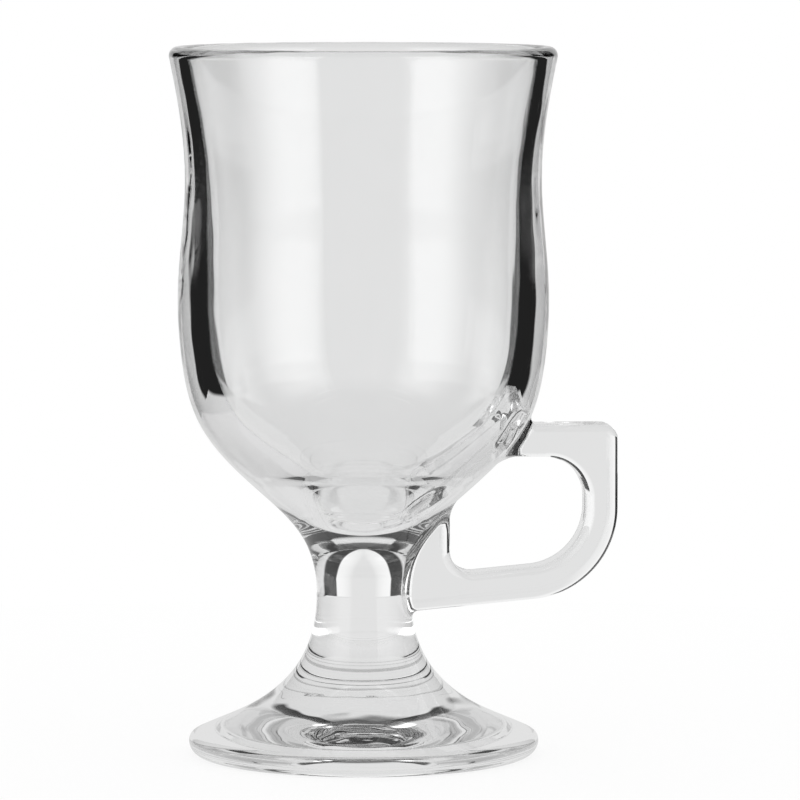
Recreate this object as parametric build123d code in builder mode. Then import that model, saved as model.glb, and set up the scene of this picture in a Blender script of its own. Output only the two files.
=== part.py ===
"""Irish coffee glass mug: a thick-walled bowl on a solid stem and foot, with a bent glass bar for a handle.

The mug stands on the XY plane with its axis on Z, and the handle reaches out along +X. Sizes are in millimetres.
"""
import math
import os

from build123d import *

# Heights of the three stacked pieces
foot_height = 19.0
stem_height = 18.0
bowl_height = 106.0

# Bowl outside: each level is a radius and its height above the bowl's joint with the stem
rim_radius = 39.0
rim_lean = 11.5
waist_radius = 35.85
waist_level = 80.0
bulge_radius = 37.35
bulge_level = 56.0
flank_radius = 36.85
flank_level = 45.3
shoulder_radius = 33.5
shoulder_level = 31.0
turn_radius = 21.1
turn_level = 16.5
neck_radius = 11.2
neck_level = 4.9
bowl_joint_radius = 9.82

# Bowl wall, measured level across, and the floor's thickness over the joint
rim_wall = 3.6
waist_wall = 4.0
bulge_wall = 5.75
flank_wall = 6.05
floor_thickness = 11.2

# Narrowing lower part of the bowl's hollow: each level is a radius and its height above the joint with the stem
well_side_radius = 26.9
well_side_level = 32.5
well_turn_radius = 18.0
well_turn_level = 23.5
well_funnel_radius = 10.0
well_funnel_level = 17.0
well_tip_radius = 6.5
well_tip_level = 13.6

# Stem: its narrowest place and that place's height above the joint with the foot
stem_radius = 9.5
stem_level = 14.75
foot_joint_radius = 12.9

# Foot: slope, rounded edge, flat ring that touches the table and the hollow inside the ring
slope_radius = 22.2
slope_level = 10.2
foot_radius = 35.35
edge_top_round = 1.8
edge_bottom_round = 2.95
edge_slope = 25.0
ring_width = 4.4
hollow_bevel = 1.4
hollow_step = 1.1
hollow_depth = 4.2

# Handle: a bar of even depth, measured from the mug's axis and from the bowl's joint with the stem
handle_reach = 51.2
handle_top_level = 29.9
handle_width = 11.0
bar_depth = 6.5
bar_round = 2.3
top_corner_round = 3.0
top_inner_round = 8.5
elbow_round = 18.5
elbow_level = 13.0
lower_slope = 5.3
web_reach = 17.2
web_corner_round = 4.5
upper_root_fillet = 2.2
lower_root_fillet = 1.0
seat_rise = 0.45

# Places worked out from the sizes above
bowl_joint = foot_height + stem_height
mug_height = bowl_joint + bowl_height
lip_round = rim_wall / 2
lip_center = (rim_radius - lip_round, mug_height - lip_round)
edge_center_height = edge_bottom_round
down_the_rim = (-math.sin(math.radians(rim_lean)), -math.cos(math.radians(rim_lean)))
across_the_edge = (math.cos(math.radians(edge_slope)), -math.sin(math.radians(edge_slope)))
# How far inside the outer surface the handle's roots end before the pieces are parted
root_bite = 1.5
clear = 2.0

# Every revolved outline is drawn on the side away from the handle, so its seam stays clear of the roots
section = Plane(origin=(0, 0, 0), x_dir=(-1, 0, 0), z_dir=(0, 1, 0))


def outside(step):
    """Levels of the mug's outer surface from the rim to the foot's edge, moved outwards by a step."""
    lip = (
        lip_center[0] + lip_round * math.cos(math.radians(rim_lean)),
        lip_center[1] - lip_round * math.sin(math.radians(rim_lean)),
    )
    edge = (
        foot_radius - edge_top_round + edge_top_round * math.sin(math.radians(edge_slope)),
        edge_center_height + edge_top_round * math.cos(math.radians(edge_slope)),
    )
    levels = [
        lip,
        (waist_radius, bowl_joint + waist_level),
        (bulge_radius, bowl_joint + bulge_level),
        (flank_radius, bowl_joint + flank_level),
        (shoulder_radius, bowl_joint + shoulder_level),
        (turn_radius, bowl_joint + turn_level),
        (neck_radius, bowl_joint + neck_level),
        (bowl_joint_radius, bowl_joint),
        (stem_radius, foot_height + stem_level),
        (foot_joint_radius, foot_height),
        (slope_radius, slope_level),
        edge,
    ]
    return [(radius + step, height) for radius, height in levels]


def inside():
    """Levels of the bowl's inner surface from the lip to the middle of the floor."""
    return [
        (
            lip_center[0] - lip_round * math.cos(math.radians(rim_lean)),
            lip_center[1] + lip_round * math.sin(math.radians(rim_lean)),
        ),
        (waist_radius - waist_wall, bowl_joint + waist_level),
        (bulge_radius - bulge_wall, bowl_joint + bulge_level),
        (flank_radius - flank_wall, bowl_joint + flank_level),
        (well_side_radius, bowl_joint + well_side_level),
        (well_turn_radius, bowl_joint + well_turn_level),
        (well_funnel_radius, bowl_joint + well_funnel_level),
        (well_tip_radius, bowl_joint + well_tip_level),
        (0, bowl_joint + floor_thickness),
    ]


# Bowl, stem and foot as one turned form, hollow in the bowl and under the foot
with BuildPart() as turned:
    with BuildSketch(section):
        with BuildLine():
            lip = CenterArc(lip_center, lip_round, -rim_lean, 180)
            outer = Spline(*outside(0), tangents=[down_the_rim, across_the_edge])
            CenterArc(
                (foot_radius - edge_top_round, edge_center_height), edge_top_round, 0, 90 - edge_slope
            )
            edge = CenterArc(
                (foot_radius - edge_bottom_round, edge_center_height), edge_bottom_round, -90, 90
            )
            ring = Line(edge @ 0, (edge @ 0) - Vector(ring_width, 0))
            bevel = Line(ring @ 1, (ring @ 1) + Vector(-hollow_bevel, hollow_step))
            dome = TangentArc((0, hollow_depth), bevel @ 1, tangent=(1, 0))
            inner = Spline(*inside(), tangents=[down_the_rim, (-1, 0)])
            Line((0, hollow_depth), (0, bowl_joint + floor_thickness))
        make_face()
    revolve(axis=Axis.Z)

# Solid just under the outer surface, which trims the handle's roots inside the glass
with BuildPart() as core:
    with BuildSketch(section):
        with BuildLine():
            levels = outside(-root_bite)
            Spline(*levels, tangents=[down_the_rim, across_the_edge])
            Polyline(levels[-1], (0, levels[-1][1]), (0, levels[0][1]), levels[0])
        make_face()
    revolve(axis=Axis.Z)

# Solid just over the outer surface, which parts the handle from its raised seats on the bowl and the stem
with BuildPart() as skin:
    with BuildSketch(section):
        with BuildLine():
            levels = outside(seat_rise)
            Spline(*levels, tangents=[down_the_rim, across_the_edge])
            Polyline(
                levels[-1],
                (foot_radius + clear, levels[-1][1]),
                (foot_radius + clear, -clear),
                (0, -clear),
                (0, mug_height + clear),
                (rim_radius + clear, mug_height + clear),
                (rim_radius + clear, levels[0][1]),
                levels[0],
            )
        make_face()
    revolve(axis=Axis.Z)

# Bent bar of the handle, cut from its outline in the mug's middle plane
handle_top = bowl_joint + handle_top_level
elbow_center = Vector(handle_reach - elbow_round, bowl_joint + elbow_level)
elbow_inner_round = elbow_round - bar_depth
slope_down = Vector(math.cos(math.radians(lower_slope)), math.sin(math.radians(lower_slope)))
elbow_foot = Vector(slope_down.Y, -slope_down.X)
root_inside = stem_radius / 2
with BuildPart() as bar:
    with BuildSketch(Plane.XZ) as outline:
        with BuildLine():
            low_outer = elbow_center + elbow_foot * elbow_round
            run = (low_outer.X - root_inside) / slope_down.X
            Polyline(
                low_outer,
                low_outer - slope_down * run,
                (root_inside, handle_top),
                (handle_reach, handle_top),
                (handle_reach, elbow_center.Y),
            )
            CenterArc(elbow_center, elbow_round, lower_slope - 90, 90 - lower_slope)
        make_face()
        fillet(outline.vertices().sort_by_distance((handle_reach, handle_top))[0], top_corner_round)
        with BuildLine():
            low_inner = elbow_center + elbow_foot * elbow_inner_round
            run = (low_inner.X - web_reach) / slope_down.X
            web_corner = low_inner - slope_down * run
            inner_reach = handle_reach - bar_depth
            Polyline(
                low_inner,
                web_corner,
                (web_reach, handle_top - bar_depth),
                (inner_reach, handle_top - bar_depth),
                (inner_reach, elbow_center.Y),
            )
            CenterArc(elbow_center, elbow_inner_round, lower_slope - 90, 90 - lower_slope)
        make_face(mode=Mode.SUBTRACT)
        inner_corner = (inner_reach, handle_top - bar_depth)
        fillet(outline.vertices().sort_by_distance(inner_corner)[0], top_inner_round)
        fillet(outline.vertices().sort_by_distance(web_corner)[0], web_corner_round)
    extrude(amount=handle_width / 2, both=True)
    faces_front_and_back = bar.faces().filter_by(Axis.Y)
    fillet(faces_front_and_back.edges(), bar_round)
    add(core.part, mode=Mode.SUBTRACT)

# Bar grown onto the turned form, with a soft fillet all round each root
with BuildPart() as grown:
    add(turned.part)
    add(bar.part)
    roots = grown.edges(Select.NEW)
    between_roots = handle_top - bar_depth - upper_root_fillet
    upper_root = roots.filter_by(lambda edge: edge.center().Z > between_roots)
    lower_root = roots.filter_by(lambda edge: edge.center().Z < between_roots)
    fillet(upper_root, upper_root_fillet)
    fillet(lower_root, lower_root_fillet)

os.makedirs("parts", exist_ok=True)

# Bowl: everything over its joint with the stem, with the upper part of the handle's seats
with BuildPart() as bowl:
    add(grown.part)
    add(skin.part, mode=Mode.INTERSECT)
    split(bisect_by=Plane.XY.offset(bowl_joint), keep=Keep.TOP)
bowl.part.label = "bowl"
export_step(bowl.part, "parts/bowl.step")

# Stem: the waisted neck between the two joints, with the lower part of the handle's seat
with BuildPart() as stem:
    add(grown.part)
    add(skin.part, mode=Mode.INTERSECT)
    split(bisect_by=Plane.XY.offset(bowl_joint), keep=Keep.BOTTOM)
    split(bisect_by=Plane.XY.offset(foot_height), keep=Keep.TOP)
stem.part.label = "stem"
export_step(stem.part, "parts/stem.step")

# Foot: the broad disc under the stem, with its flat ring and hollow
with BuildPart() as foot:
    add(turned.part)
    split(bisect_by=Plane.XY.offset(foot_height), keep=Keep.BOTTOM)
foot.part.label = "foot"
export_step(foot.part, "parts/foot.step")

# Handle: the bar outside its seats, with the wider part of its root fillets
with BuildPart() as handle:
    add(grown.part)
    add(skin.part, mode=Mode.SUBTRACT)
handle.part.label = "handle"
export_step(handle.part, "parts/handle.step")
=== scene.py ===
import math

import bpy
import numpy as np
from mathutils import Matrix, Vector
from mathutils.geometry import delaunay_2d_cdt


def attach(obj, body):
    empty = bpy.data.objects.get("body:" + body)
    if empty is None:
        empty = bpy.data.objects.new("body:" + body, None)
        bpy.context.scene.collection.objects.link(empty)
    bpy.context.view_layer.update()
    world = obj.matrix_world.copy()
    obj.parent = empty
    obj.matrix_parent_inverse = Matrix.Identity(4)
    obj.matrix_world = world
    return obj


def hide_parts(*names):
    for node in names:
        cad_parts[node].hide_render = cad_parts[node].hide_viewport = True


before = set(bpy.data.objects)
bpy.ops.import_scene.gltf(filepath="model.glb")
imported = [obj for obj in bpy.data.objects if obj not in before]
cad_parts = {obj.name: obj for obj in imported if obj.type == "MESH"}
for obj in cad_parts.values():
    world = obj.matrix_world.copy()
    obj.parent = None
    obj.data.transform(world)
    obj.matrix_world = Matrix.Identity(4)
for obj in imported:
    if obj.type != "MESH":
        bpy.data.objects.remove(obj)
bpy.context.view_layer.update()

# Sizes of the mug in millimetres, as in the solids: radii from the axis, heights from the table
foot_height = 19.0
bowl_joint = 37.0
mug_height = 143.0
rim_radius = 39.0
rim_lean = math.radians(11.5)
waist_radius = 35.85
waist_height = 117.0
bulge_radius = 37.35
bulge_height = 93.0
flank_radius = 36.85
flank_height = 82.3
shoulder_radius = 33.5
shoulder_height = 68.0
turn_radius = 21.1
turn_height = 53.5
neck_radius = 11.2
neck_height = 41.9
bowl_joint_radius = 9.82
stem_radius = 9.5
stem_height = 33.75
foot_joint_radius = 12.9
slope_radius = 22.2
slope_height = 10.2

# Bowl wall, measured level across, and the narrowing lower part of the bowl's hollow
rim_wall = 3.6
waist_wall = 4.0
bulge_wall = 5.75
flank_wall = 6.05
well_side_radius = 26.9
well_side_height = 69.5
well_turn_radius = 18.0
well_turn_height = 60.5
well_funnel_radius = 10.0
well_funnel_height = 54.0
well_tip_radius = 6.5
well_tip_height = 50.6
floor_height = 48.2

# Foot: rounded edge, flat ring that touches the table, and the hollow with its direction at the bevel
foot_radius = 35.35
edge_top_round = 1.8
edge_bottom_round = 2.95
edge_slope = math.radians(25.0)
ring_inner_radius = 28.0
bevel_radius = 26.6
bevel_height = 1.1
hollow_depth = 4.2
hollow_start = (-1.0, 0.24)

# Handle, seen from the side: the bar's outline in the plane through the mug's axis
handle_reach = 51.2
handle_top = 66.9
half_width = 5.5
bar_depth = 6.5
bar_round = 2.3
top_corner_round = 3.0
top_inner_round = 8.5
elbow_round = 18.5
elbow_height = 50.0
lower_slope = math.radians(5.3)
web_reach = 17.2
web_corner_round = 4.5
upper_fillet = 2.2
lower_fillet = 1.8

# Where the bar's outline ends inside the stem, and where its last ring of points lies beside the neck
root_reach = 5.0
last_ring_reach = 12.6
last_ring_height = 46.4

# Fineness of the meshes in millimetres, and counts of points and rings
turns = 240
row_step = 0.85
fine_step = 0.05
lip_step = 0.28
floor_step = 0.35
floor_rows_height = 56.0
edge_top_step = 0.3
edge_bottom_step = 0.35
ring_step = 0.6
bevel_step = 0.4
way_step = 0.1
curve_points = 60
half_side_steps = 3
turn_steps = 6
face_steps = 16
top_bend_rings = 30
elbow_rings = 28
lower_bar_rings = 12
web_rings = 14
root_bar_rings = 6
fillet_rings = 12
patch_margin = 2
root_clearance = 0.22

# Limits of the sums below, and millimetres in a metre
tiny = 1e-9
flattest_crossing = 0.02
longest_move = 1.0
longest_ray = 40.0
ray_halvings = 50
millimetres = 1000

# Levels of the outer and the inner surface between the lip and the foot's edge or the floor
outside_levels = [
    (waist_radius, waist_height),
    (bulge_radius, bulge_height),
    (flank_radius, flank_height),
    (shoulder_radius, shoulder_height),
    (turn_radius, turn_height),
    (neck_radius, neck_height),
    (bowl_joint_radius, bowl_joint),
    (stem_radius, stem_height),
    (foot_joint_radius, foot_height),
    (slope_radius, slope_height),
]
inside_levels = [
    (waist_radius - waist_wall, waist_height),
    (bulge_radius - bulge_wall, bulge_height),
    (flank_radius - flank_wall, flank_height),
    (well_side_radius, well_side_height),
    (well_turn_radius, well_turn_height),
    (well_funnel_radius, well_funnel_height),
    (well_tip_radius, well_tip_height),
    (0.0, floor_height),
]


# Outlines

def smooth_curve(points, start, end, step):
    """Points along a smooth curve through the given ones, leaving and arriving in the given directions."""
    p = np.array(points, float)
    h = np.linalg.norm(np.diff(p, axis=0), axis=1)
    n = len(p)
    a = np.zeros((n, n))
    b = np.zeros((n, 2))
    a[0, 0] = a[-1, -1] = 1.0
    b[0] = np.array(start) / np.linalg.norm(start)
    b[-1] = np.array(end) / np.linalg.norm(end)
    for i in range(1, n - 1):
        a[i, i - 1] = 1 / h[i - 1]
        a[i, i] = 2 / h[i - 1] + 2 / h[i]
        a[i, i + 1] = 1 / h[i]
        b[i] = 3 * ((p[i] - p[i - 1]) / h[i - 1] ** 2 + (p[i + 1] - p[i]) / h[i] ** 2)
    m = np.linalg.solve(a, b)
    out = []
    for i in range(n - 1):
        u = np.linspace(0, 1, curve_points, endpoint=i == n - 2)[:, None]
        out.append(
            (2 * u**3 - 3 * u**2 + 1) * p[i]
            + (u**3 - 2 * u**2 + u) * h[i] * m[i]
            + (3 * u**2 - 2 * u**3) * p[i + 1]
            + (u**3 - u**2) * h[i] * m[i + 1]
        )
    return even(np.vstack(out), step)


def lengths(p):
    """How far along a line each of its points lies."""
    return np.r_[0, np.cumsum(np.linalg.norm(np.diff(p, axis=0), axis=1))]


def even(p, step):
    """The same line with points at an even step."""
    s = lengths(p)
    count = max(2, round(s[-1] / step) + 1)
    t = np.linspace(0, s[-1], count)
    return np.column_stack([np.interp(t, s, p[:, 0]), np.interp(t, s, p[:, 1])])


def arc(center, radius, start, end, step):
    """Points round a center from one angle to another."""
    count = max(3, math.ceil(abs(end - start) * radius / step) + 1)
    t = np.linspace(start, end, count)
    return np.column_stack([center[0] + radius * np.cos(t), center[1] + radius * np.sin(t)])


def joined(*lines):
    """Lines end to end as one, without the doubled points between them."""
    out = [lines[0]]
    for line in lines[1:]:
        out.append(line[1:])
    return np.vstack(out)


def side_normals(p):
    """Unit normals on the left of a line in the plane of radius and height."""
    t = np.gradient(p, axis=0)
    t /= np.linalg.norm(t, axis=1)[:, None]
    return np.column_stack([-t[:, 1], t[:, 0]])


lip_round = rim_wall / 2
lip_center = (rim_radius - lip_round, mug_height - lip_round)
down_the_rim = (-math.sin(rim_lean), -math.cos(rim_lean))
lip_outer = (
    lip_center[0] + lip_round * math.cos(rim_lean),
    lip_center[1] - lip_round * math.sin(rim_lean),
)
lip_inner = (2 * lip_center[0] - lip_outer[0], 2 * lip_center[1] - lip_outer[1])
edge_start = (
    foot_radius - edge_top_round + edge_top_round * math.sin(edge_slope),
    edge_bottom_round + edge_top_round * math.cos(edge_slope),
)
fine = smooth_curve(
    [lip_outer] + outside_levels + [edge_start],
    down_the_rim,
    (math.cos(edge_slope), -math.sin(edge_slope)),
    fine_step,
)


def split_at(line, height):
    """Index of the first point of a falling line at or under a height."""
    return int(np.argmax(line[:, 1] <= height))


bowl_end = split_at(fine, bowl_joint)
stem_end = split_at(fine, foot_height)
bowl_side = even(fine[: bowl_end + 1], row_step)
stem_side = even(fine[bowl_end : stem_end + 1], row_step)
foot_side = even(fine[stem_end:], row_step)
outer = joined(bowl_side, stem_side, foot_side)
bowl_rows = len(bowl_side) - 1
stem_rows = bowl_rows + len(stem_side) - 1
outer_s = lengths(outer)
outer_n = side_normals(outer)

fine_inside = smooth_curve([lip_inner] + inside_levels, down_the_rim, (-1, 0), fine_step)
floor_start = split_at(fine_inside, floor_rows_height)
inner = joined(
    arc(lip_center, lip_round, -rim_lean, math.pi - rim_lean, lip_step),
    even(fine_inside[: floor_start + 1], row_step),
    even(fine_inside[floor_start:], floor_step),
)
edge_top = (foot_radius - edge_top_round, edge_bottom_round)
edge_bottom = (foot_radius - edge_bottom_round, edge_bottom_round)
bevel_end = (bevel_radius, bevel_height)
dome_middle = (bevel_radius / 2, (bevel_height + 3 * hollow_depth) / 4)
under = joined(
    arc(edge_top, edge_top_round, math.pi / 2 - edge_slope, 0, edge_top_step),
    arc(edge_bottom, edge_bottom_round, 0, -math.pi / 2, edge_bottom_step),
    even(np.array([(edge_bottom[0], 0), (ring_inner_radius, 0)]), ring_step),
    even(np.array([(ring_inner_radius, 0), bevel_end]), bevel_step),
    smooth_curve([bevel_end, dome_middle, (0, hollow_depth)], hollow_start, (-1, 0), row_step),
)


# Distances: how far a point lies outside the turned form and outside the handle's bar, with their slopes

def nearest_segment(points, starts, ends):
    """Which segment lies nearest to each point, how far along it the nearest place is, and the distance."""
    d = ends - starts
    rel = points[:, None, :] - starts[None]
    t = np.clip((rel * d).sum(2) / np.maximum((d * d).sum(1), tiny), 0, 1)
    gap = rel - t[..., None] * d
    dist = np.sqrt((gap * gap).sum(2))
    which = dist.argmin(1)
    rows = np.arange(len(points))
    return which, t[rows, which], dist[rows, which]


# The part of the outer surface that the handle's roots can reach
band_low = 20
band_high = 90
band_every = 6
root_band = fine[(fine[:, 1] > band_low) & (fine[:, 1] < band_high)][::band_every]
root_band_n = side_normals(root_band)


def off_body(p):
    """Distance outside the turned form, and the slope."""
    reach = np.maximum(np.hypot(p[:, 0], p[:, 1]), tiny)
    flat = np.column_stack([reach, p[:, 2]])
    which, t, _ = nearest_segment(flat, root_band[:-1], root_band[1:])
    base = root_band[which] * (1 - t[:, None]) + root_band[which + 1] * t[:, None]
    n = root_band_n[which] * (1 - t[:, None]) + root_band_n[which + 1] * t[:, None]
    n /= np.linalg.norm(n, axis=1)[:, None]
    slope = np.column_stack([n[:, 0] * p[:, 0] / reach, n[:, 0] * p[:, 1] / reach, n[:, 1]])
    return ((flat - base) * n).sum(1), slope


inner_reach = handle_reach - bar_depth
hole_top = handle_top - bar_depth
elbow = np.array([handle_reach - elbow_round, elbow_height])
elbow_inner = elbow_round - bar_depth
along = np.array([math.cos(lower_slope), math.sin(lower_slope)])
below = np.array([along[1], -along[0]])
low_turn = lower_slope - math.pi / 2
low_outer = elbow + below * elbow_round
low_inner = elbow + below * elbow_inner
web_x = web_reach + web_corner_round
web_line = low_inner - along * ((low_inner[0] - web_x) / along[0])
web = np.array([web_x, web_line[1] + web_corner_round / along[0]])
web_start = web + below * web_corner_round
corner = np.array([inner_reach - top_inner_round, hole_top - top_inner_round])
top_corner = np.array([handle_reach - top_corner_round, handle_top - top_corner_round])
low_root = low_outer - along * ((low_outer[0] - root_reach) / along[0])

# The bar's outline: straight sides with the glass on their left, then arcs that are full or hollow
straights = [
    (low_root, low_outer),
    ((handle_reach, elbow_height), (handle_reach, top_corner[1])),
    ((top_corner[0], handle_top), (root_reach, handle_top)),
    (low_inner, web_start),
    ((inner_reach, corner[1]), (inner_reach, elbow_height)),
    ((web_reach, hole_top), (corner[0], hole_top)),
    ((web_reach, web[1]), (web_reach, hole_top)),
]
straights = [(np.array(a, float), np.array(b, float)) for a, b in straights]
bends = [
    (elbow, elbow_round, low_turn, 0, 1),
    (top_corner, top_corner_round, 0, math.pi / 2, 1),
    (elbow, elbow_inner, low_turn, 0, -1),
    (corner, top_inner_round, 0, math.pi / 2, -1),
    (web, web_corner_round, -math.pi, low_turn, -1),
]


def off_outline(flat):
    """Distance outside the bar's outline in its own plane, and the slope."""
    best = np.full(len(flat), np.inf)
    value = np.zeros(len(flat))
    slope = np.zeros((len(flat), 2))
    for a, b in straights:
        d = b - a
        n = np.array([d[1], -d[0]]) / np.linalg.norm(d)
        rel = flat - a
        t = np.clip(rel @ d / (d @ d), 0, 1)
        gap = rel - t[:, None] * d
        dist = np.linalg.norm(gap, axis=1)
        closer = dist < best
        best = np.where(closer, dist, best)
        value = np.where(closer, rel @ n, value)
        slope = np.where(closer[:, None], n, slope)
    for center, radius, start, end, sign in bends:
        rel = flat - center
        size = np.maximum(np.linalg.norm(rel, axis=1), tiny)
        turn = np.arctan2(rel[:, 1], rel[:, 0])
        dist = np.abs(size - radius)
        closer = (dist < best) & (turn >= start) & (turn <= end)
        best = np.where(closer, dist, best)
        value = np.where(closer, sign * (size - radius), value)
        slope = np.where(closer[:, None], sign * rel / size[:, None], slope)
    return value, slope


def off_bar(p):
    """Distance outside the rounded bar, and the slope."""
    a, n = off_outline(p[:, [0, 2]])
    a = a + bar_round
    b = np.abs(p[:, 1]) - (half_width - bar_round)
    side = np.where(p[:, 1] < 0, -1.0, 1.0)
    wa = np.where((a > 0) & (b > 0), a, np.where(a > b, 1.0, 0.0))
    wb = np.where((a > 0) & (b > 0), b, np.where(a > b, 0.0, 1.0))
    size = np.maximum(np.hypot(wa, wb), tiny)
    slope = np.column_stack([n[:, 0] * wa, side * wb, n[:, 1] * wa]) / size[:, None]
    value = np.minimum(np.maximum(a, b), 0) + np.hypot(np.maximum(a, 0), np.maximum(b, 0)) - bar_round
    return value, slope


def within(points, loop):
    """Which points lie inside a closed loop."""
    a = loop[:-1]
    b = loop[1:]
    x = points[:, 0][:, None]
    y = points[:, 1][:, None]
    crosses = (a[:, 1] > y) != (b[:, 1] > y)
    rise = np.where(b[:, 1] == a[:, 1], tiny, b[:, 1] - a[:, 1])
    hit = x < (b[:, 0] - a[:, 0]) * (y - a[:, 1]) / rise + a[:, 0]
    return (crosses & hit).sum(1) % 2 == 1


def settle(p, bar, body=None, *, rounds):
    """Moves points until they lie at one distance from the bar and, if given, at one from the turned form."""
    p = p.copy()
    for _ in range(rounds):
        r1, g1 = off_bar(p)
        r1 = r1 - bar
        if body is None:
            p -= g1 * r1[:, None]
            continue
        r2, g2 = off_body(p)
        r2 = r2 - body
        ab = (g1 * g2).sum(1)
        det = np.maximum(1 - ab * ab, flattest_crossing)
        u = (r1 - ab * r2) / det
        v = (r2 - ab * r1) / det
        move = g1 * u[:, None] + g2 * v[:, None]
        size = np.linalg.norm(move, axis=1)
        p -= move * np.minimum(1, longest_move / np.maximum(size, tiny))[:, None]
    return p


# Handle: rings of points from the bowl round the bend to the stem

def ring(i, o):
    """A rounded rectangle of points across the bar, from its inner edge to its outer edge."""
    i = np.array(i, float)
    o = np.array(o, float)
    depth = np.linalg.norm(o - i)
    e = (o - i) / depth
    r = min(bar_round, depth / 2)
    flat = half_width - bar_round
    across = []
    for k in range(half_side_steps):
        across.append((0, flat * k / half_side_steps))
    for k in range(turn_steps):
        t = math.pi / 2 * k / turn_steps
        across.append((r - r * math.cos(t), flat + bar_round * math.sin(t)))
    for k in range(face_steps):
        across.append((r + (depth - 2 * r) * k / face_steps, half_width))
    for k in range(turn_steps):
        t = math.pi / 2 * k / turn_steps
        across.append((depth - r + r * math.sin(t), flat + bar_round * math.cos(t)))
    for k in range(half_side_steps):
        across.append((depth, flat * (1 - k / half_side_steps)))
    across.append((depth, 0))
    mirrored = [(a, -y) for a, y in reversed(across[1:-1])]
    return np.array([((i + e * a)[0], y, (i + e * a)[1]) for a, y in across + mirrored])


def cast(origin, angle):
    """Where a ray from a point inside the bend leaves the bar's outer outline."""
    d = np.array([math.cos(angle), math.sin(angle)])
    low = top_inner_round + bar_depth / 2
    high = longest_ray
    for _ in range(ray_halvings):
        mid = (low + high) / 2
        if off_outline((origin + d * mid)[None])[0][0] < 0:
            low = mid
        else:
            high = mid
    return origin + d * low


spans = []
for t in np.linspace(math.pi / 2, 0, top_bend_rings):
    ray = np.array([math.cos(t), math.sin(t)])
    spans.append((corner + ray * top_inner_round, cast(corner, t)))
upright_middle = (corner[1] + elbow_height) / 2
spans.append(((inner_reach, upright_middle), (handle_reach, upright_middle)))
for t in np.linspace(0, low_turn, elbow_rings):
    ray = np.array([math.cos(t), math.sin(t)])
    spans.append((elbow + ray * elbow_inner, elbow + ray * elbow_round))
for f in np.linspace(0, 1, lower_bar_rings + 1)[1:]:
    i = low_inner + (web_start - low_inner) * f
    spans.append((i, i + below * bar_depth))
web_way = joined(
    arc(web, web_corner_round, low_turn, -math.pi, way_step),
    even(np.array([(web_reach, web[1]), (web_reach, last_ring_height)]), way_step),
)
way_s = lengths(web_way)
last_low = web_start + below * bar_depth
for f in np.linspace(0, 1, web_rings + 1)[1:]:
    i = np.array([np.interp(f * way_s[-1], way_s, web_way[:, k]) for k in range(2)])
    o = last_low - along * f * (last_low[0] - last_ring_reach) / along[0]
    spans.append((i, o))
bar_rings = [ring(i, o) for i, o in spans]
columns = len(bar_rings[0])
stack = settle(np.vstack(bar_rings), 0.0, rounds=6)
bar_rings = list(stack.reshape(-1, columns, 3))


def root(start, fillet):
    """Rings from the bar's last ring to the turned form: over the bar, then round the fillet."""
    foot_ring = settle(start, 0.0, fillet, rounds=40)
    rings = []
    normals = []
    for k in range(1, root_bar_rings):
        f = k / root_bar_rings
        rings.append(settle(start * (1 - f) + foot_ring * f, 0.0, rounds=8))
        normals.append(off_bar(rings[-1])[1])
    place = foot_ring
    for k in range(fillet_rings + 1):
        t = math.pi / 2 * k / fillet_rings
        bar = fillet * (1 - math.cos(t))
        body = fillet * (1 - math.sin(t))
        place = settle(place, bar, body, rounds=25)
        rings.append(place)
        n = off_bar(place)[1] * math.cos(t) + off_body(place)[1] * math.sin(t)
        normals.append(n)
    return rings, normals


upper_rings, upper_normals = root(bar_rings[0], upper_fillet)
lower_rings, lower_normals = root(bar_rings[-1], lower_fillet)
handle_rings = upper_rings[::-1] + bar_rings + lower_rings
handle_normals = upper_normals[::-1] + [off_bar(r)[1] for r in bar_rings] + lower_normals
handle_normals = [n / np.maximum(np.linalg.norm(n, axis=1), tiny)[:, None] for n in handle_normals]


# Meshes: faces are gathered as points, normals and a flag for faces hidden inside the glass

class Piece:
    """One piece of glass while its faces are gathered."""

    def __init__(self, name):
        self.name = name
        self.points = []
        self.index = {}
        self.faces = []
        self.normals = []
        self.inside = []

    def vertex(self, key, place):
        """Number of the point with a key, which is added when it is new."""
        if key not in self.index:
            self.index[key] = len(self.points)
            self.points.append(place)
        return self.index[key]

    def face(self, corners, inside=False):
        """Adds a face with a key, a place and a normal at each corner, anticlockwise seen from outside."""
        ids = [self.vertex(key, place) for key, place, _ in corners]
        if len(set(ids)) < 3:
            return
        self.faces.append(ids)
        self.normals.append([normal for _, _, normal in corners])
        self.inside.append(inside)

    def make(self, materials):
        """The object in metres, with smooth glass and flat faces hidden inside it."""
        mesh = bpy.data.meshes.new(self.name)
        mesh.from_pydata([tuple(c / millimetres for c in p) for p in self.points], [], self.faces)
        mesh.polygons.foreach_set("use_smooth", [not flag for flag in self.inside])
        mesh.polygons.foreach_set("material_index", [int(flag) for flag in self.inside])
        for material in materials:
            mesh.materials.append(material)
        corner_normals = []
        for normals, inside, poly in zip(self.normals, self.inside, mesh.polygons):
            for n in normals:
                corner_normals.append(tuple(poly.normal) if inside else tuple(n))
        mesh.normals_split_custom_set(corner_normals)
        obj = bpy.data.objects.new(self.name, mesh)
        bpy.context.scene.collection.objects.link(obj)
        return obj


bowl = Piece("glass_bowl")
stem = Piece("glass_stem")
foot = Piece("glass_foot")
handle = Piece("glass_handle")

angles = [2 * math.pi * j / turns for j in range(turns)]
grid = 2 * math.pi / turns
# Slopes round the axis are kept finite nearer to it than this
axis_radius = 1.0


def turned(line, normals, row, col):
    """Place and normal of a point on a turned outline."""
    a = angles[col % turns]
    r, z = line[row]
    nr, nz = normals[row]
    c = math.cos(a)
    s = math.sin(a)
    return (r * c, r * s, z), (nr * c, nr * s, nz)


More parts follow.
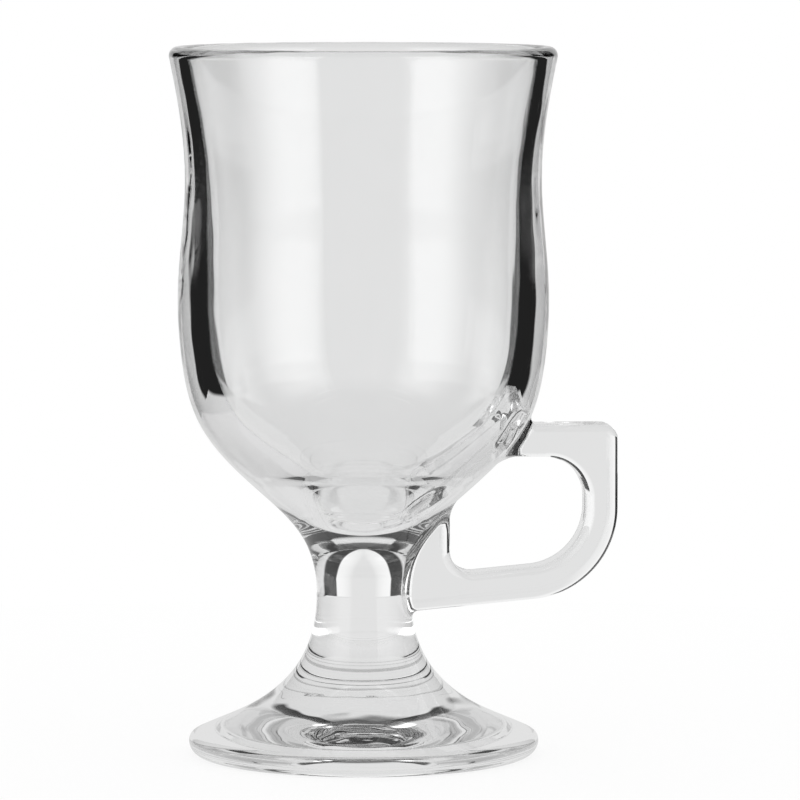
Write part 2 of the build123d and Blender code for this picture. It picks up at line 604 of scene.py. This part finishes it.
def uneven(line, normals, height):
    """Places and normals of a turned outline whose surface is raised by a height at each row and turn."""
    a = np.array(angles)
    outwards = np.stack([np.cos(a), np.sin(a), np.zeros(turns)], axis=1)
    around = np.stack([-np.sin(a), np.cos(a), np.zeros(turns)], axis=1)
    up = np.array([0.0, 0.0, 1.0])
    step = np.gradient(line, axis=0)
    step /= np.linalg.norm(step, axis=1)[:, None]
    by_length = np.gradient(height, lengths(line), axis=0)
    by_turn = (np.roll(height, -1, axis=1) - np.roll(height, 1, axis=1)) / (2 * grid)
    by_turn /= np.maximum(line[:, :1], axis_radius)
    straight = normals[:, None, :1] * outwards + normals[:, None, 1:] * up
    places = line[:, None, :1] * outwards + line[:, None, 1:] * up + height[:, :, None] * straight
    lengthwise = step[:, None, :1] * outwards + step[:, None, 1:] * up
    tilted = straight - by_length[:, :, None] * lengthwise - by_turn[:, :, None] * around
    return places, tilted / np.linalg.norm(tilted, axis=2)[:, :, None]


def waves(line, size, lobes, spacing, count):
    """Crossing waves with whole numbers of lobes round the axis and a spacing along the outline."""
    s = lengths(line)[:, None]
    a = np.array(angles)[None, :]
    height = np.zeros((len(line), turns))
    for _ in range(count):
        number = random.integers(lobes[0], lobes[1] + 1)
        rate = 2 * math.pi / random.uniform(*spacing) * random.choice((-1, 1))
        height += np.sin(number * a + rate * s + random.uniform(0, 2 * math.pi))
    return size * height / math.sqrt(count)


def ease(value, start, end):
    """0 up to the start, 1 from the end on and smooth between them."""
    share = np.clip((value - start) / (end - start), 0, 1)
    return share * share * (3 - 2 * share)


def outer_corner(row, col):
    """Key, place and normal of a corner on the outer surface."""
    place, normal = turned(outer, outer_n, row, col)
    return (("outer", row, col % turns), place, normal)


def owner(row):
    """The piece that a row of the outer surface belongs to."""
    if row < bowl_rows:
        return bowl
    return stem if row < stem_rows else foot


# Where the handle's roots meet the turned form: loops in the plane of turn and length along the outline

def unrolled(loop):
    """A loop of points as turns round the axis and lengths along the outline."""
    theta = np.arctan2(loop[:, 1], loop[:, 0])
    flat = np.column_stack([np.hypot(loop[:, 0], loop[:, 1]), loop[:, 2]])
    which, t, _ = nearest_segment(flat, outer[:-1], outer[1:])
    return np.column_stack([theta, outer_s[which] + t * (outer_s[which + 1] - outer_s[which])])


def on_outer(theta, s):
    """Place and normal on the turned form at a turn and a length along its outline."""
    row = min(int(np.searchsorted(outer_s, s, side="right")) - 1, len(outer) - 2)
    row = max(row, 0)
    f = (s - outer_s[row]) / (outer_s[row + 1] - outer_s[row])
    r, z = outer[row] * (1 - f) + outer[row + 1] * f
    nr, nz = outer_n[row] * (1 - f) + outer_n[row + 1] * f
    size = math.hypot(nr, nz)
    c = math.cos(theta)
    k = math.sin(theta)
    return (r * c, r * k, z), (nr / size * c, nr / size * k, nz / size)


covered = set()
joint_extra = []
joint_s = outer_s[bowl_rows]
# Millimetres of outline that count like one radian of turn in a patch, and how near its points are one
turn_scale = 20.0
weld = 1e-7


def root_patch(name, loop):
    """Meshes the turned form round one root, and shares the root's own faces with the handle."""
    flat = unrolled(loop)
    crossing = flat[:, 1].min() < joint_s < flat[:, 1].max()
    if crossing:
        for k in range(len(flat)):
            here = flat[k, 1] - joint_s
            after = flat[(k + 1) % len(flat), 1] - joint_s
            if here * after < 0:
                near = k if abs(here) < abs(after) else (k + 1) % len(flat)
                flat[near, 1] = joint_s
    row_low = int(np.searchsorted(outer_s, flat[:, 1].min())) - 1 - patch_margin
    row_high = int(np.searchsorted(outer_s, flat[:, 1].max())) + patch_margin
    reach = math.ceil(np.abs(flat[:, 0]).max() / grid) + patch_margin
    points = []
    keys = []
    edges = []
    for k, (theta, s) in enumerate(flat):
        points.append((theta * turn_scale, s))
        keys.append(("root", name, k))
        edges.append((k, (k + 1) % len(flat)))
    ring_points = np.array(points)
    ends = np.roll(ring_points, -1, axis=0)
    grid_id = {}
    for row in range(row_low, row_high + 1):
        for col in range(-reach, reach + 1):
            here = np.array([(col * grid * turn_scale, outer_s[row])])
            _, _, gap = nearest_segment(here, ring_points, ends)
            border = row in (row_low, row_high) or abs(col) == reach
            if gap[0] < root_clearance and not border:
                continue
            grid_id[row, col] = len(points)
            points.append(tuple(here[0]))
            keys.append(("outer", row, col % turns))
    for row in (row_low, row_high):
        for col in range(-reach, reach):
            edges.append((grid_id[row, col], grid_id[row, col + 1]))
    for col in (-reach, reach):
        for row in range(row_low, row_high):
            edges.append((grid_id[row, col], grid_id[row + 1, col]))
    if crossing:
        line = [(points[i][0], i) for i in range(len(points)) if abs(points[i][1] - joint_s) < tiny]
        line.sort()
        for (_, a), (_, b) in zip(line, line[1:]):
            edges.append((a, b))
        for x, i in line:
            if keys[i][0] == "root":
                joint_extra.append((x / turn_scale, keys[i]))
    _, _, faces, origin, _, _ = delaunay_2d_cdt([Vector(p) for p in points], edges, [], 0, weld, True)
    places = [on_outer(x / turn_scale, s) for x, s in points]
    closed = np.vstack([ring_points, ring_points[:1]])
    for tri in faces:
        ids = [origin[v][0] for v in tri]
        mid = np.mean([points[i] for i in ids], axis=0)
        a, b, c = (np.array(points[i]) for i in ids)
        if (b[0] - a[0]) * (c[1] - a[1]) - (b[1] - a[1]) * (c[0] - a[0]) > 0:
            ids = ids[::-1]
        corners = [(keys[i], *places[i]) for i in ids]
        piece = bowl if mid[1] < joint_s else stem
        hidden = bool(within(mid[None], closed)[0])
        piece.face(corners, hidden)
        if hidden:
            handle.face(corners[::-1], True)
    for row in range(row_low, row_high):
        for col in range(-reach, reach):
            covered.add((row, col % turns))
    return [on_outer(theta, s) for theta, s in flat]


upper_seat = root_patch("upper", handle_rings[0])
lower_seat = root_patch("lower", handle_rings[-1])

# Turned faces outside the patches, outer side first
for row in range(len(outer) - 1):
    for col in range(turns):
        if (row, col) in covered:
            continue
        owner(row).face([
            outer_corner(row, col),
            outer_corner(row + 1, col),
            outer_corner(row + 1, col + 1),
            outer_corner(row, col + 1),
        ])


def turned_strip(name, line, normals, height, first_row):
    """Corners of a turned strip from an existing outer row to the axis, by row and turn."""
    places, tilted = uneven(line, normals, height)

    def at(row, col):
        """Key, place and normal of one corner."""
        col %= turns
        if row == 0:
            return (("outer", first_row, col), *turned(line, normals, 0, col))
        if row == len(line) - 1:
            return ((name, "axis"), (0, 0, line[-1][1]), (0, 0, normals[row][1]))
        return ((name, row, col), tuple(places[row, col]), tuple(tilted[row, col]))
    return at


# Slight unevenness: how far it spreads from a seam, as the sine of the turn, and where each kind starts
# and ends in millimetres of depth, length or radius
seam_share = 0.42
seam_start = (5.0, 14.0)
seam_end = (76.0, 90.0)
floor_start_depth = (80.0, 86.0)
floor_ring_radius = 8.6
floor_ring_width = 0.55
floor_ring_rise = 0.10
lip_start = (0.0, 2.0)
lip_end = (5.0, 9.0)
lip_sink = 0.05
hollow_edge = (0.5, 5.0)
hollow_middle = (1.0, 5.0)

# The bowl's inside is uneven near the mould's two seams, and the plunger left a fine ring on its floor
random = np.random.default_rng(5)
inner_n = -side_normals(inner)
inner_n[-1] = (0, 1)
to_seam = np.abs(np.sin(np.array(angles)))[None, :]
depth_down = (mug_height - inner[:, 1])[:, None]
at_seams = np.exp(-((to_seam / seam_share) ** 2))
at_seams = at_seams * ease(depth_down, *seam_start) * (1 - ease(depth_down, *seam_end))
long_waves = waves(inner, size=0.016, lobes=(14, 34), spacing=(30.0, 70.0), count=8)
short_waves = waves(inner, size=0.010, lobes=(8, 20), spacing=(9.0, 18.0), count=6)
inner_height = at_seams * (long_waves + short_waves)
on_floor = inner[:, :1] * ease(depth_down, *floor_start_depth)
inner_height += floor_ring_rise * np.exp(-(((on_floor - floor_ring_radius) / floor_ring_width) ** 2))
# The fire-polished lip wanders a little, inside its true round
from_edge = lengths(inner)[:, None]
on_lip = ease(from_edge, *lip_start) * (1 - ease(from_edge, *lip_end))
lip_waves = waves(inner, size=0.014, lobes=(10, 32), spacing=(9.0, 30.0), count=8)
inner_height += on_lip * (lip_waves - lip_sink)
at = turned_strip("inner", inner, inner_n, inner_height, 0)
for row in range(len(inner) - 1):
    for col in range(turns):
        last = row == len(inner) - 2
        corners = [at(row, col), at(row, col + 1), at(row + 1, col + 1), at(row + 1, col)]
        bowl.face(corners[:2] + [corners[3]] if last else corners)

# The hollow under the foot is left as the press leaves it, with low waves
under_n = side_normals(under)
under_n[-1] = (0, -1)
in_hollow = ease(bevel_radius - under[:, :1], *hollow_edge) * ease(under[:, :1], *hollow_middle)
under_height = in_hollow * waves(under, size=0.020, lobes=(2, 11), spacing=(5.0, 12.0), count=10)
at = turned_strip("under", under, under_n, under_height, len(outer) - 1)
for row in range(len(under) - 1):
    for col in range(turns):
        last = row == len(under) - 2
        corners = [at(row, col), at(row + 1, col), at(row + 1, col + 1), at(row, col + 1)]
        foot.face([corners[0], corners[1], corners[3]] if last else corners)


def joint_disc(above, under_it, row, extra):
    """The flat joint between two stacked pieces, shared by both."""
    rim = []
    for col in range(turns):
        key, place, _ = outer_corner(row, col)
        if key in above.index:
            rim.append((angles[col], key, place))
    for theta, key in extra:
        place, _ = on_outer(theta, outer_s[row])
        rim.append((theta % (2 * math.pi), key, place))
    rim.sort()
    z = outer[row][1]
    middle = (("joint", row), (0, 0, z), (0, 0, 1))
    for (_, ka, pa), (_, kb, pb) in zip(rim, rim[1:] + rim[:1]):
        a = (ka, pa, (0, 0, 1))
        b = (kb, pb, (0, 0, 1))
        under_it.face([middle, a, b], True)
        above.face([middle, b, a], True)


joint_disc(bowl, stem, bowl_rows, joint_extra)
joint_disc(stem, foot, stem_rows, [])


def handle_corner(k, j):
    """Key, place and normal of a corner on the handle, whose end rings lie on the other pieces."""
    j %= columns
    last = len(handle_rings) - 1
    if k == 0:
        return (("root", "upper", j), *upper_seat[j])
    if k == last:
        return (("root", "lower", j), *lower_seat[j])
    return (("bar", k, j), tuple(handle_rings[k][j]), tuple(handle_normals[k][j]))


for k in range(len(handle_rings) - 1):
    for j in range(columns):
        handle.face([
            handle_corner(k, j),
            handle_corner(k, j + 1),
            handle_corner(k + 1, j + 1),
            handle_corner(k + 1, j),
        ])


# Materials

def new_material(name):
    """A material without any nodes, with its nodes and links."""
    material = bpy.data.materials.new(name)
    material.use_nodes = True
    nodes = material.node_tree.nodes
    nodes.clear()
    return material, nodes, material.node_tree.links


grey_melt = (0.984, 0.987, 0.987, 1)
clear_melt = (0.995, 0.996, 0.996, 1)
glass, nodes, links = new_material("clear_glass")
output = nodes.new("ShaderNodeOutputMaterial")
shader = nodes.new("ShaderNodeBsdfPrincipled")
# Faint cords of clearer and greyer melt run through the glass
coords = nodes.new("ShaderNodeTexCoord")
melt = nodes.new("ShaderNodeTexNoise")
melt.inputs["Scale"].default_value = 55.0
melt.inputs["Detail"].default_value = 3.0
melt.inputs["Distortion"].default_value = 1.5
links.new(coords.outputs["Object"], melt.inputs["Vector"])
tint = nodes.new("ShaderNodeValToRGB")
tint.color_ramp.elements[0].position = 0.3
tint.color_ramp.elements[0].color = grey_melt
tint.color_ramp.elements[1].position = 0.7
tint.color_ramp.elements[1].color = clear_melt
links.new(melt.outputs["Fac"], tint.inputs["Fac"])
links.new(tint.outputs["Color"], shader.inputs["Base Color"])
shader.inputs["Roughness"].default_value = 0.0
shader.inputs["IOR"].default_value = 1.51
shader.inputs["Transmission Weight"].default_value = 1.0
links.new(shader.outputs["BSDF"], output.inputs["Surface"])

joint, nodes, links = new_material("fused_joint")
output = nodes.new("ShaderNodeOutputMaterial")
shader = nodes.new("ShaderNodeBsdfPrincipled")
shader.inputs["Alpha"].default_value = 0.0
links.new(shader.outputs["BSDF"], output.inputs["Surface"])

for piece, node in ((bowl, "bowl"), (stem, "stem"), (foot, "foot"), (handle, "handle")):
    obj = piece.make([glass, joint])
    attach(obj, "root")
    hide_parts(node)

# Table and studio

view_turn = math.radians(4.0)
table_radius = 0.26
lit_lane = 0.165
lit_disc = 0.25
lit_edge = (0.96, 1.04)
# Round the foot, rays long trapped in the glass see a paler painted reflection on the table, which keeps only
# this share of their own level
near_foot = 0.13
near_dim = 0.45
paper_grey = 0.98
paper_white = 0.88

# Strengths and grey levels
softbox_strength = 1.9
backdrop_strength = 0.97
backdrop_share = 0.40
backdrop_middle = 0.79
room_level = 0.79
curtain_level = 0.025
dark_level = 0.008
trapped_level = 0.32
trapped_above = 0.34
front_level = 0.40
overhead_level = 0.08

# A ray counts as mirrored, or as trapped, when the glass has mirrored it more often than this
mirrored_from = 0.5
trapped_from = 2.5

# Levels by bearing in degrees from straight ahead: mirrored rays meet a backdrop, dark sides and two
# softboxes in front, and rays straight through the glass meet the backdrop between two dark curtains
# in a pale room
open_bearing = 88
backdrop_stops = [(0, backdrop_share), (24, backdrop_share), (26, dark_level)]
trapped_stops = [(0, dark_level), (60, dark_level), (80, trapped_level), (180, trapped_level)]
left_box_stops = [
    (88, dark_level),
    (107, 0.52),
    (120, 0.95),
    (134, 1.0),
    (144, 0.95),
    (153, 0.42),
    (180, front_level),
]
right_box_stops = [
    (80, dark_level),
    (95, 0.45),
    (107, 0.62),
    (122, 0.95),
    (140, 1.0),
    (147.5, 0.95),
    (149, front_level),
    (180, front_level),
]
curtain_stops = [
    (0, backdrop_middle),
    (9, backdrop_middle),
    (13, 0.90),
    (18, 0.97),
    (24.5, 1.0),
    (25.5, curtain_level),
    (44, curtain_level),
    (48, room_level),
]

# Shares by rise in degrees from straight down, with the horizon at 90: the softboxes end overhead,
# the curtains open a little at the horizon, end over the table and lean together above the mug
softbox_stops = [(0, 1.0), (125, 1.0), (140, overhead_level)]
gap_stops = [(87, 0), (89, 1), (97, 1), (102, 0)]
above_stops = [(92, 0), (98, 1)]
window_stops = [(74.5, 0), (75.5, 1), (150, 1), (160, 0)]
lean_from = 92
lean_rate = 0.5
half_turn = 180


def math_node(nodes, links, operation, first, second=None):
    """One sum with sockets or plain numbers."""
    node = nodes.new("ShaderNodeMath")
    node.operation = operation
    for socket, value in zip(node.inputs, (first, second)):
        if value is None:
            continue
        if isinstance(value, (int, float)):
            socket.default_value = value
        else:
            links.new(value, socket)
    return node.outputs[0]


def ramp_node(nodes, links, fac, stops):
    """Grey levels at the given angles in degrees, straight between them."""
    node = nodes.new("ShaderNodeValToRGB")
    ramp = node.color_ramp
    while len(ramp.elements) < len(stops):
        ramp.elements.new(1.0)
    for element, (degrees, value) in zip(ramp.elements, stops):
        element.position = degrees / half_turn
        element.color = (value, value, value, 1)
    links.new(fac, node.inputs["Fac"])
    return node.outputs["Color"]


def mix_level(nodes, links, factor, first, second):
    """A level that goes from the first to the second as the factor goes from 0 to 1."""
    node = nodes.new("ShaderNodeMixRGB")
    for socket, value in zip(node.inputs, (factor, first, second)):
        if isinstance(value, (int, float)):
            socket.default_value = value if socket.name == "Fac" else (value, value, value, 1)
        else:
            links.new(value, socket)
    return node.outputs["Color"]


def length_node(nodes, links, vector):
    """How long a vector is."""
    node = nodes.new("ShaderNodeVectorMath")
    node.operation = "LENGTH"
    links.new(vector, node.inputs[0])
    return node.outputs["Value"]


def glowing(nodes, links, kind, strength, level):
    """A shader that gives light of one strength and grey level."""
    node = nodes.new(kind)
    node.inputs["Strength"].default_value = strength
    links.new(level, node.inputs["Color"])
    return node


def layered(nodes, links, base, layers):
    """Shaders laid over a base, each by its own factor."""
    for factor, shader in layers:
        mix = nodes.new("ShaderNodeMixShader")
        links.new(factor, mix.inputs["Fac"])
        links.new(base, mix.inputs[1])
        links.new(shader.outputs[0], mix.inputs[2])
        base = mix.outputs["Shader"]
    return base


def staged(name, points, faces, material):
    """A flat thing of the studio that isn't part of the mug."""
    mesh = bpy.data.meshes.new(name)
    mesh.from_pydata(points, [], faces)
    mesh.materials.append(material)
    obj = bpy.data.objects.new(name, mesh)
    bpy.context.scene.collection.objects.link(obj)


def from_front(nodes, links, vector):
    """How far a vector reaches to the right and to the back, seen from the front."""
    facing = nodes.new("ShaderNodeVectorRotate")
    facing.rotation_type = "Z_AXIS"
    facing.inputs["Angle"].default_value = view_turn
    links.new(vector, facing.inputs["Vector"])
    parts = nodes.new("ShaderNodeSeparateXYZ")
    links.new(facing.outputs["Vector"], parts.inputs[0])
    return parts.outputs["X"], parts.outputs["Y"]


def bearing(nodes, links, vector):
    """Angle of a direction from straight ahead as a share of half a turn, and whether it is to the right."""
    across, back = from_front(nodes, links, vector)
    turn = math_node(nodes, links, "ARCTAN2", across, back)
    turn = math_node(nodes, links, "ABSOLUTE", turn)
    right = math_node(nodes, links, "GREATER_THAN", across, 0.0)
    return math_node(nodes, links, "DIVIDE", turn, math.pi), right


def far_on_table(nodes, links, place):
    """0 in the lit middle of the table and 1 beyond it: a broad lane behind the mug and a disc before it."""
    across, back = from_front(nodes, links, place)
    lane = math_node(nodes, links, "ABSOLUTE", across)
    lane = math_node(nodes, links, "DIVIDE", lane, lit_lane)
    disc = math_node(nodes, links, "DIVIDE", length_node(nodes, links, place), lit_disc)
    before = math_node(nodes, links, "LESS_THAN", back, 0.0)
    far = nodes.new("ShaderNodeMapRange")
    far.interpolation_type = "SMOOTHSTEP"
    far.inputs["From Min"].default_value = lit_edge[0]
    far.inputs["From Max"].default_value = lit_edge[1]
    links.new(mix_level(nodes, links, before, lane, disc), far.inputs["Value"])
    return far.outputs["Result"]


def softbox_level(nodes, links, turn, right, trapped):
    """What a mirrored ray meets at a bearing on the left or the right, or one long trapped in the glass."""
    left_level = ramp_node(nodes, links, turn, backdrop_stops + left_box_stops)
    right_level = ramp_node(nodes, links, turn, backdrop_stops + right_box_stops)
    level = mix_level(nodes, links, right, left_level, right_level)
    return mix_level(nodes, links, trapped, level, ramp_node(nodes, links, turn, trapped_stops))


def open_level(nodes, links, turn, right, trapped):
    """What a mirrored ray meets between the curtains' lower and upper parts: pale sides."""
    front = math_node(nodes, links, "GREATER_THAN", turn, open_bearing / half_turn)
    boxes = softbox_level(nodes, links, turn, right, trapped)
    level = mix_level(nodes, links, front, backdrop_share, boxes)
    return mix_level(nodes, links, trapped, level, ramp_node(nodes, links, turn, trapped_stops))


def trapped_share(nodes, links, path):
    """1 for a ray that was mirrored three times or more, and 0 for any other."""
    return math_node(nodes, links, "GREATER_THAN", path.outputs["Glossy Depth"], trapped_from)


def straight_share(nodes, links, path):
    """1 for a ray that came straight through the glass, 0 for one that was mirrored on its way."""
    mirrored_once = math_node(nodes, links, "GREATER_THAN", path.outputs["Glossy Depth"], mirrored_from)
    never = math_node(nodes, links, "SUBTRACT", 1.0, mirrored_once)
    return math_node(nodes, links, "MULTIPLY", path.outputs["Is Transmission Ray"], never)


# White paper on the table, seen white by the camera. For rays from the glass it glows with painted softbox
# reflections and a painted backdrop between dark curtains
paper, nodes, links = new_material("white_paper_with_painted_reflections")
output = nodes.new("ShaderNodeOutputMaterial")
diffuse = nodes.new("ShaderNodeBsdfDiffuse")
diffuse.inputs["Color"].default_value = (paper_grey, paper_grey, paper_grey, 1)
path = nodes.new("ShaderNodeLightPath")
place = nodes.new("ShaderNodeNewGeometry").outputs["Position"]
seen = math_node(nodes, links, "MULTIPLY", path.outputs["Is Camera Ray"], paper_white)
white = nodes.new("ShaderNodeEmission")
far = far_on_table(nodes, links, place)
trapped = trapped_share(nodes, links, path)
turn, right = bearing(nodes, links, place)
boxes = softbox_level(nodes, links, turn, right, trapped)
# Painted paler reflection for trapped rays that meet the table near the foot
away = math_node(nodes, links, "GREATER_THAN", length_node(nodes, links, place), near_foot)
away = math_node(nodes, links, "MAXIMUM", away, near_dim)
dim = math_node(nodes, links, "MAXIMUM", far, math_node(nodes, links, "MULTIPLY", trapped, away))
boxes = mix_level(nodes, links, dim, backdrop_share, boxes)
curtains = ramp_node(nodes, links, turn, curtain_stops)
curtains = mix_level(nodes, links, far, room_level, curtains)
# Painted softbox reflection glowing on the table for mirrored rays, and painted backdrop and dark curtains
# for rays straight through the glass
mirrored = glowing(nodes, links, "ShaderNodeEmission", softbox_strength, boxes)
behind = glowing(nodes, links, "ShaderNodeEmission", backdrop_strength, curtains)
straight = straight_share(nodes, links, path)
layers = [(seen, white), (path.outputs["Is Glossy Ray"], mirrored), (straight, behind)]
links.new(layered(nodes, links, diffuse.outputs["BSDF"], layers), output.inputs["Surface"])
table = [(table_radius * math.cos(a), table_radius * math.sin(a), 0) for a in angles]
staged("floor", table, [tuple(range(turns))], paper)

# Studio round the table
world = bpy.data.worlds.new("studio")
bpy.context.scene.world = world
world.use_nodes = True
nodes = world.node_tree.nodes
links = world.node_tree.links
nodes.clear()
output = nodes.new("ShaderNodeOutputWorld")
coords = nodes.new("ShaderNodeTexCoord")
path = nodes.new("ShaderNodeLightPath")
parts = nodes.new("ShaderNodeSeparateXYZ")
links.new(coords.outputs["Generated"], parts.inputs[0])
rise = math_node(nodes, links, "ARCSINE", parts.outputs["Z"])
rise = math_node(nodes, links, "DIVIDE", rise, math.pi)
rise = math_node(nodes, links, "ADD", rise, 0.5)
turn, right = bearing(nodes, links, coords.outputs["Generated"])
trapped = trapped_share(nodes, links, path)
gap = ramp_node(nodes, links, rise, gap_stops)
gap = math_node(nodes, links, "MULTIPLY", gap, path.outputs["Is Transmission Ray"])
boxes = softbox_level(nodes, links, turn, right, trapped)
boxes = mix_level(nodes, links, gap, boxes, open_level(nodes, links, turn, right, trapped))
above = ramp_node(nodes, links, rise, above_stops)
above = math_node(nodes, links, "MULTIPLY", above, trapped)
boxes = mix_level(nodes, links, above, boxes, trapped_above)
boxes = mix_level(nodes, links, ramp_node(nodes, links, rise, softbox_stops), 0.0, boxes)
lean = math_node(nodes, links, "SUBTRACT", rise, lean_from / half_turn)
lean = math_node(nodes, links, "MAXIMUM", lean, 0.0)
lean = math_node(nodes, links, "MULTIPLY", lean, lean_rate)
lean = math_node(nodes, links, "ADD", lean, turn)
window = ramp_node(nodes, links, rise, window_stops)
curtains = mix_level(nodes, links, window, room_level, ramp_node(nodes, links, lean, curtain_stops))
plain = nodes.new("ShaderNodeBackground")
plain.inputs["Color"].default_value = (1, 1, 1, 1)
mirrored = glowing(nodes, links, "ShaderNodeBackground", softbox_strength, boxes)
behind = glowing(nodes, links, "ShaderNodeBackground", backdrop_strength, curtains)
straight = straight_share(nodes, links, path)
layers = [(path.outputs["Is Glossy Ray"], mirrored), (straight, behind)]
links.new(layered(nodes, links, plain.outputs["Background"], layers), output.inputs["Surface"])

# The photo's viewing angle: a long lens a little over a metre away
scene = bpy.context.scene
camera_data = bpy.data.cameras.new("camera")
camera_data.sensor_width = 36.0
camera_data.lens = 260.0
camera = bpy.data.objects.new("camera", camera_data)
scene.collection.objects.link(camera)
azimuth = -view_turn
distance = 1.160
eye_height = 0.17135
aim_right = 0.00735
aim_height = 0.0718
to_right = Vector((math.cos(azimuth), math.sin(azimuth), 0))
ahead = Vector((-math.sin(azimuth), math.cos(azimuth), 0))
target = to_right * aim_right + Vector((0, 0, aim_height))
camera.location = -ahead * distance + Vector((0, 0, eye_height))
camera.rotation_euler = (target - camera.location).to_track_quat("-Z", "Y").to_euler()
camera_data.clip_end = 100
scene.camera = camera
scene.view_settings.view_transform = "Standard"

# Light bounces many times inside the thick glass
bounces = 40
scene.cycles.max_bounces = bounces
scene.cycles.glossy_bounces = bounces
scene.cycles.transmission_bounces = bounces
scene.cycles.transparent_max_bounces = bounces
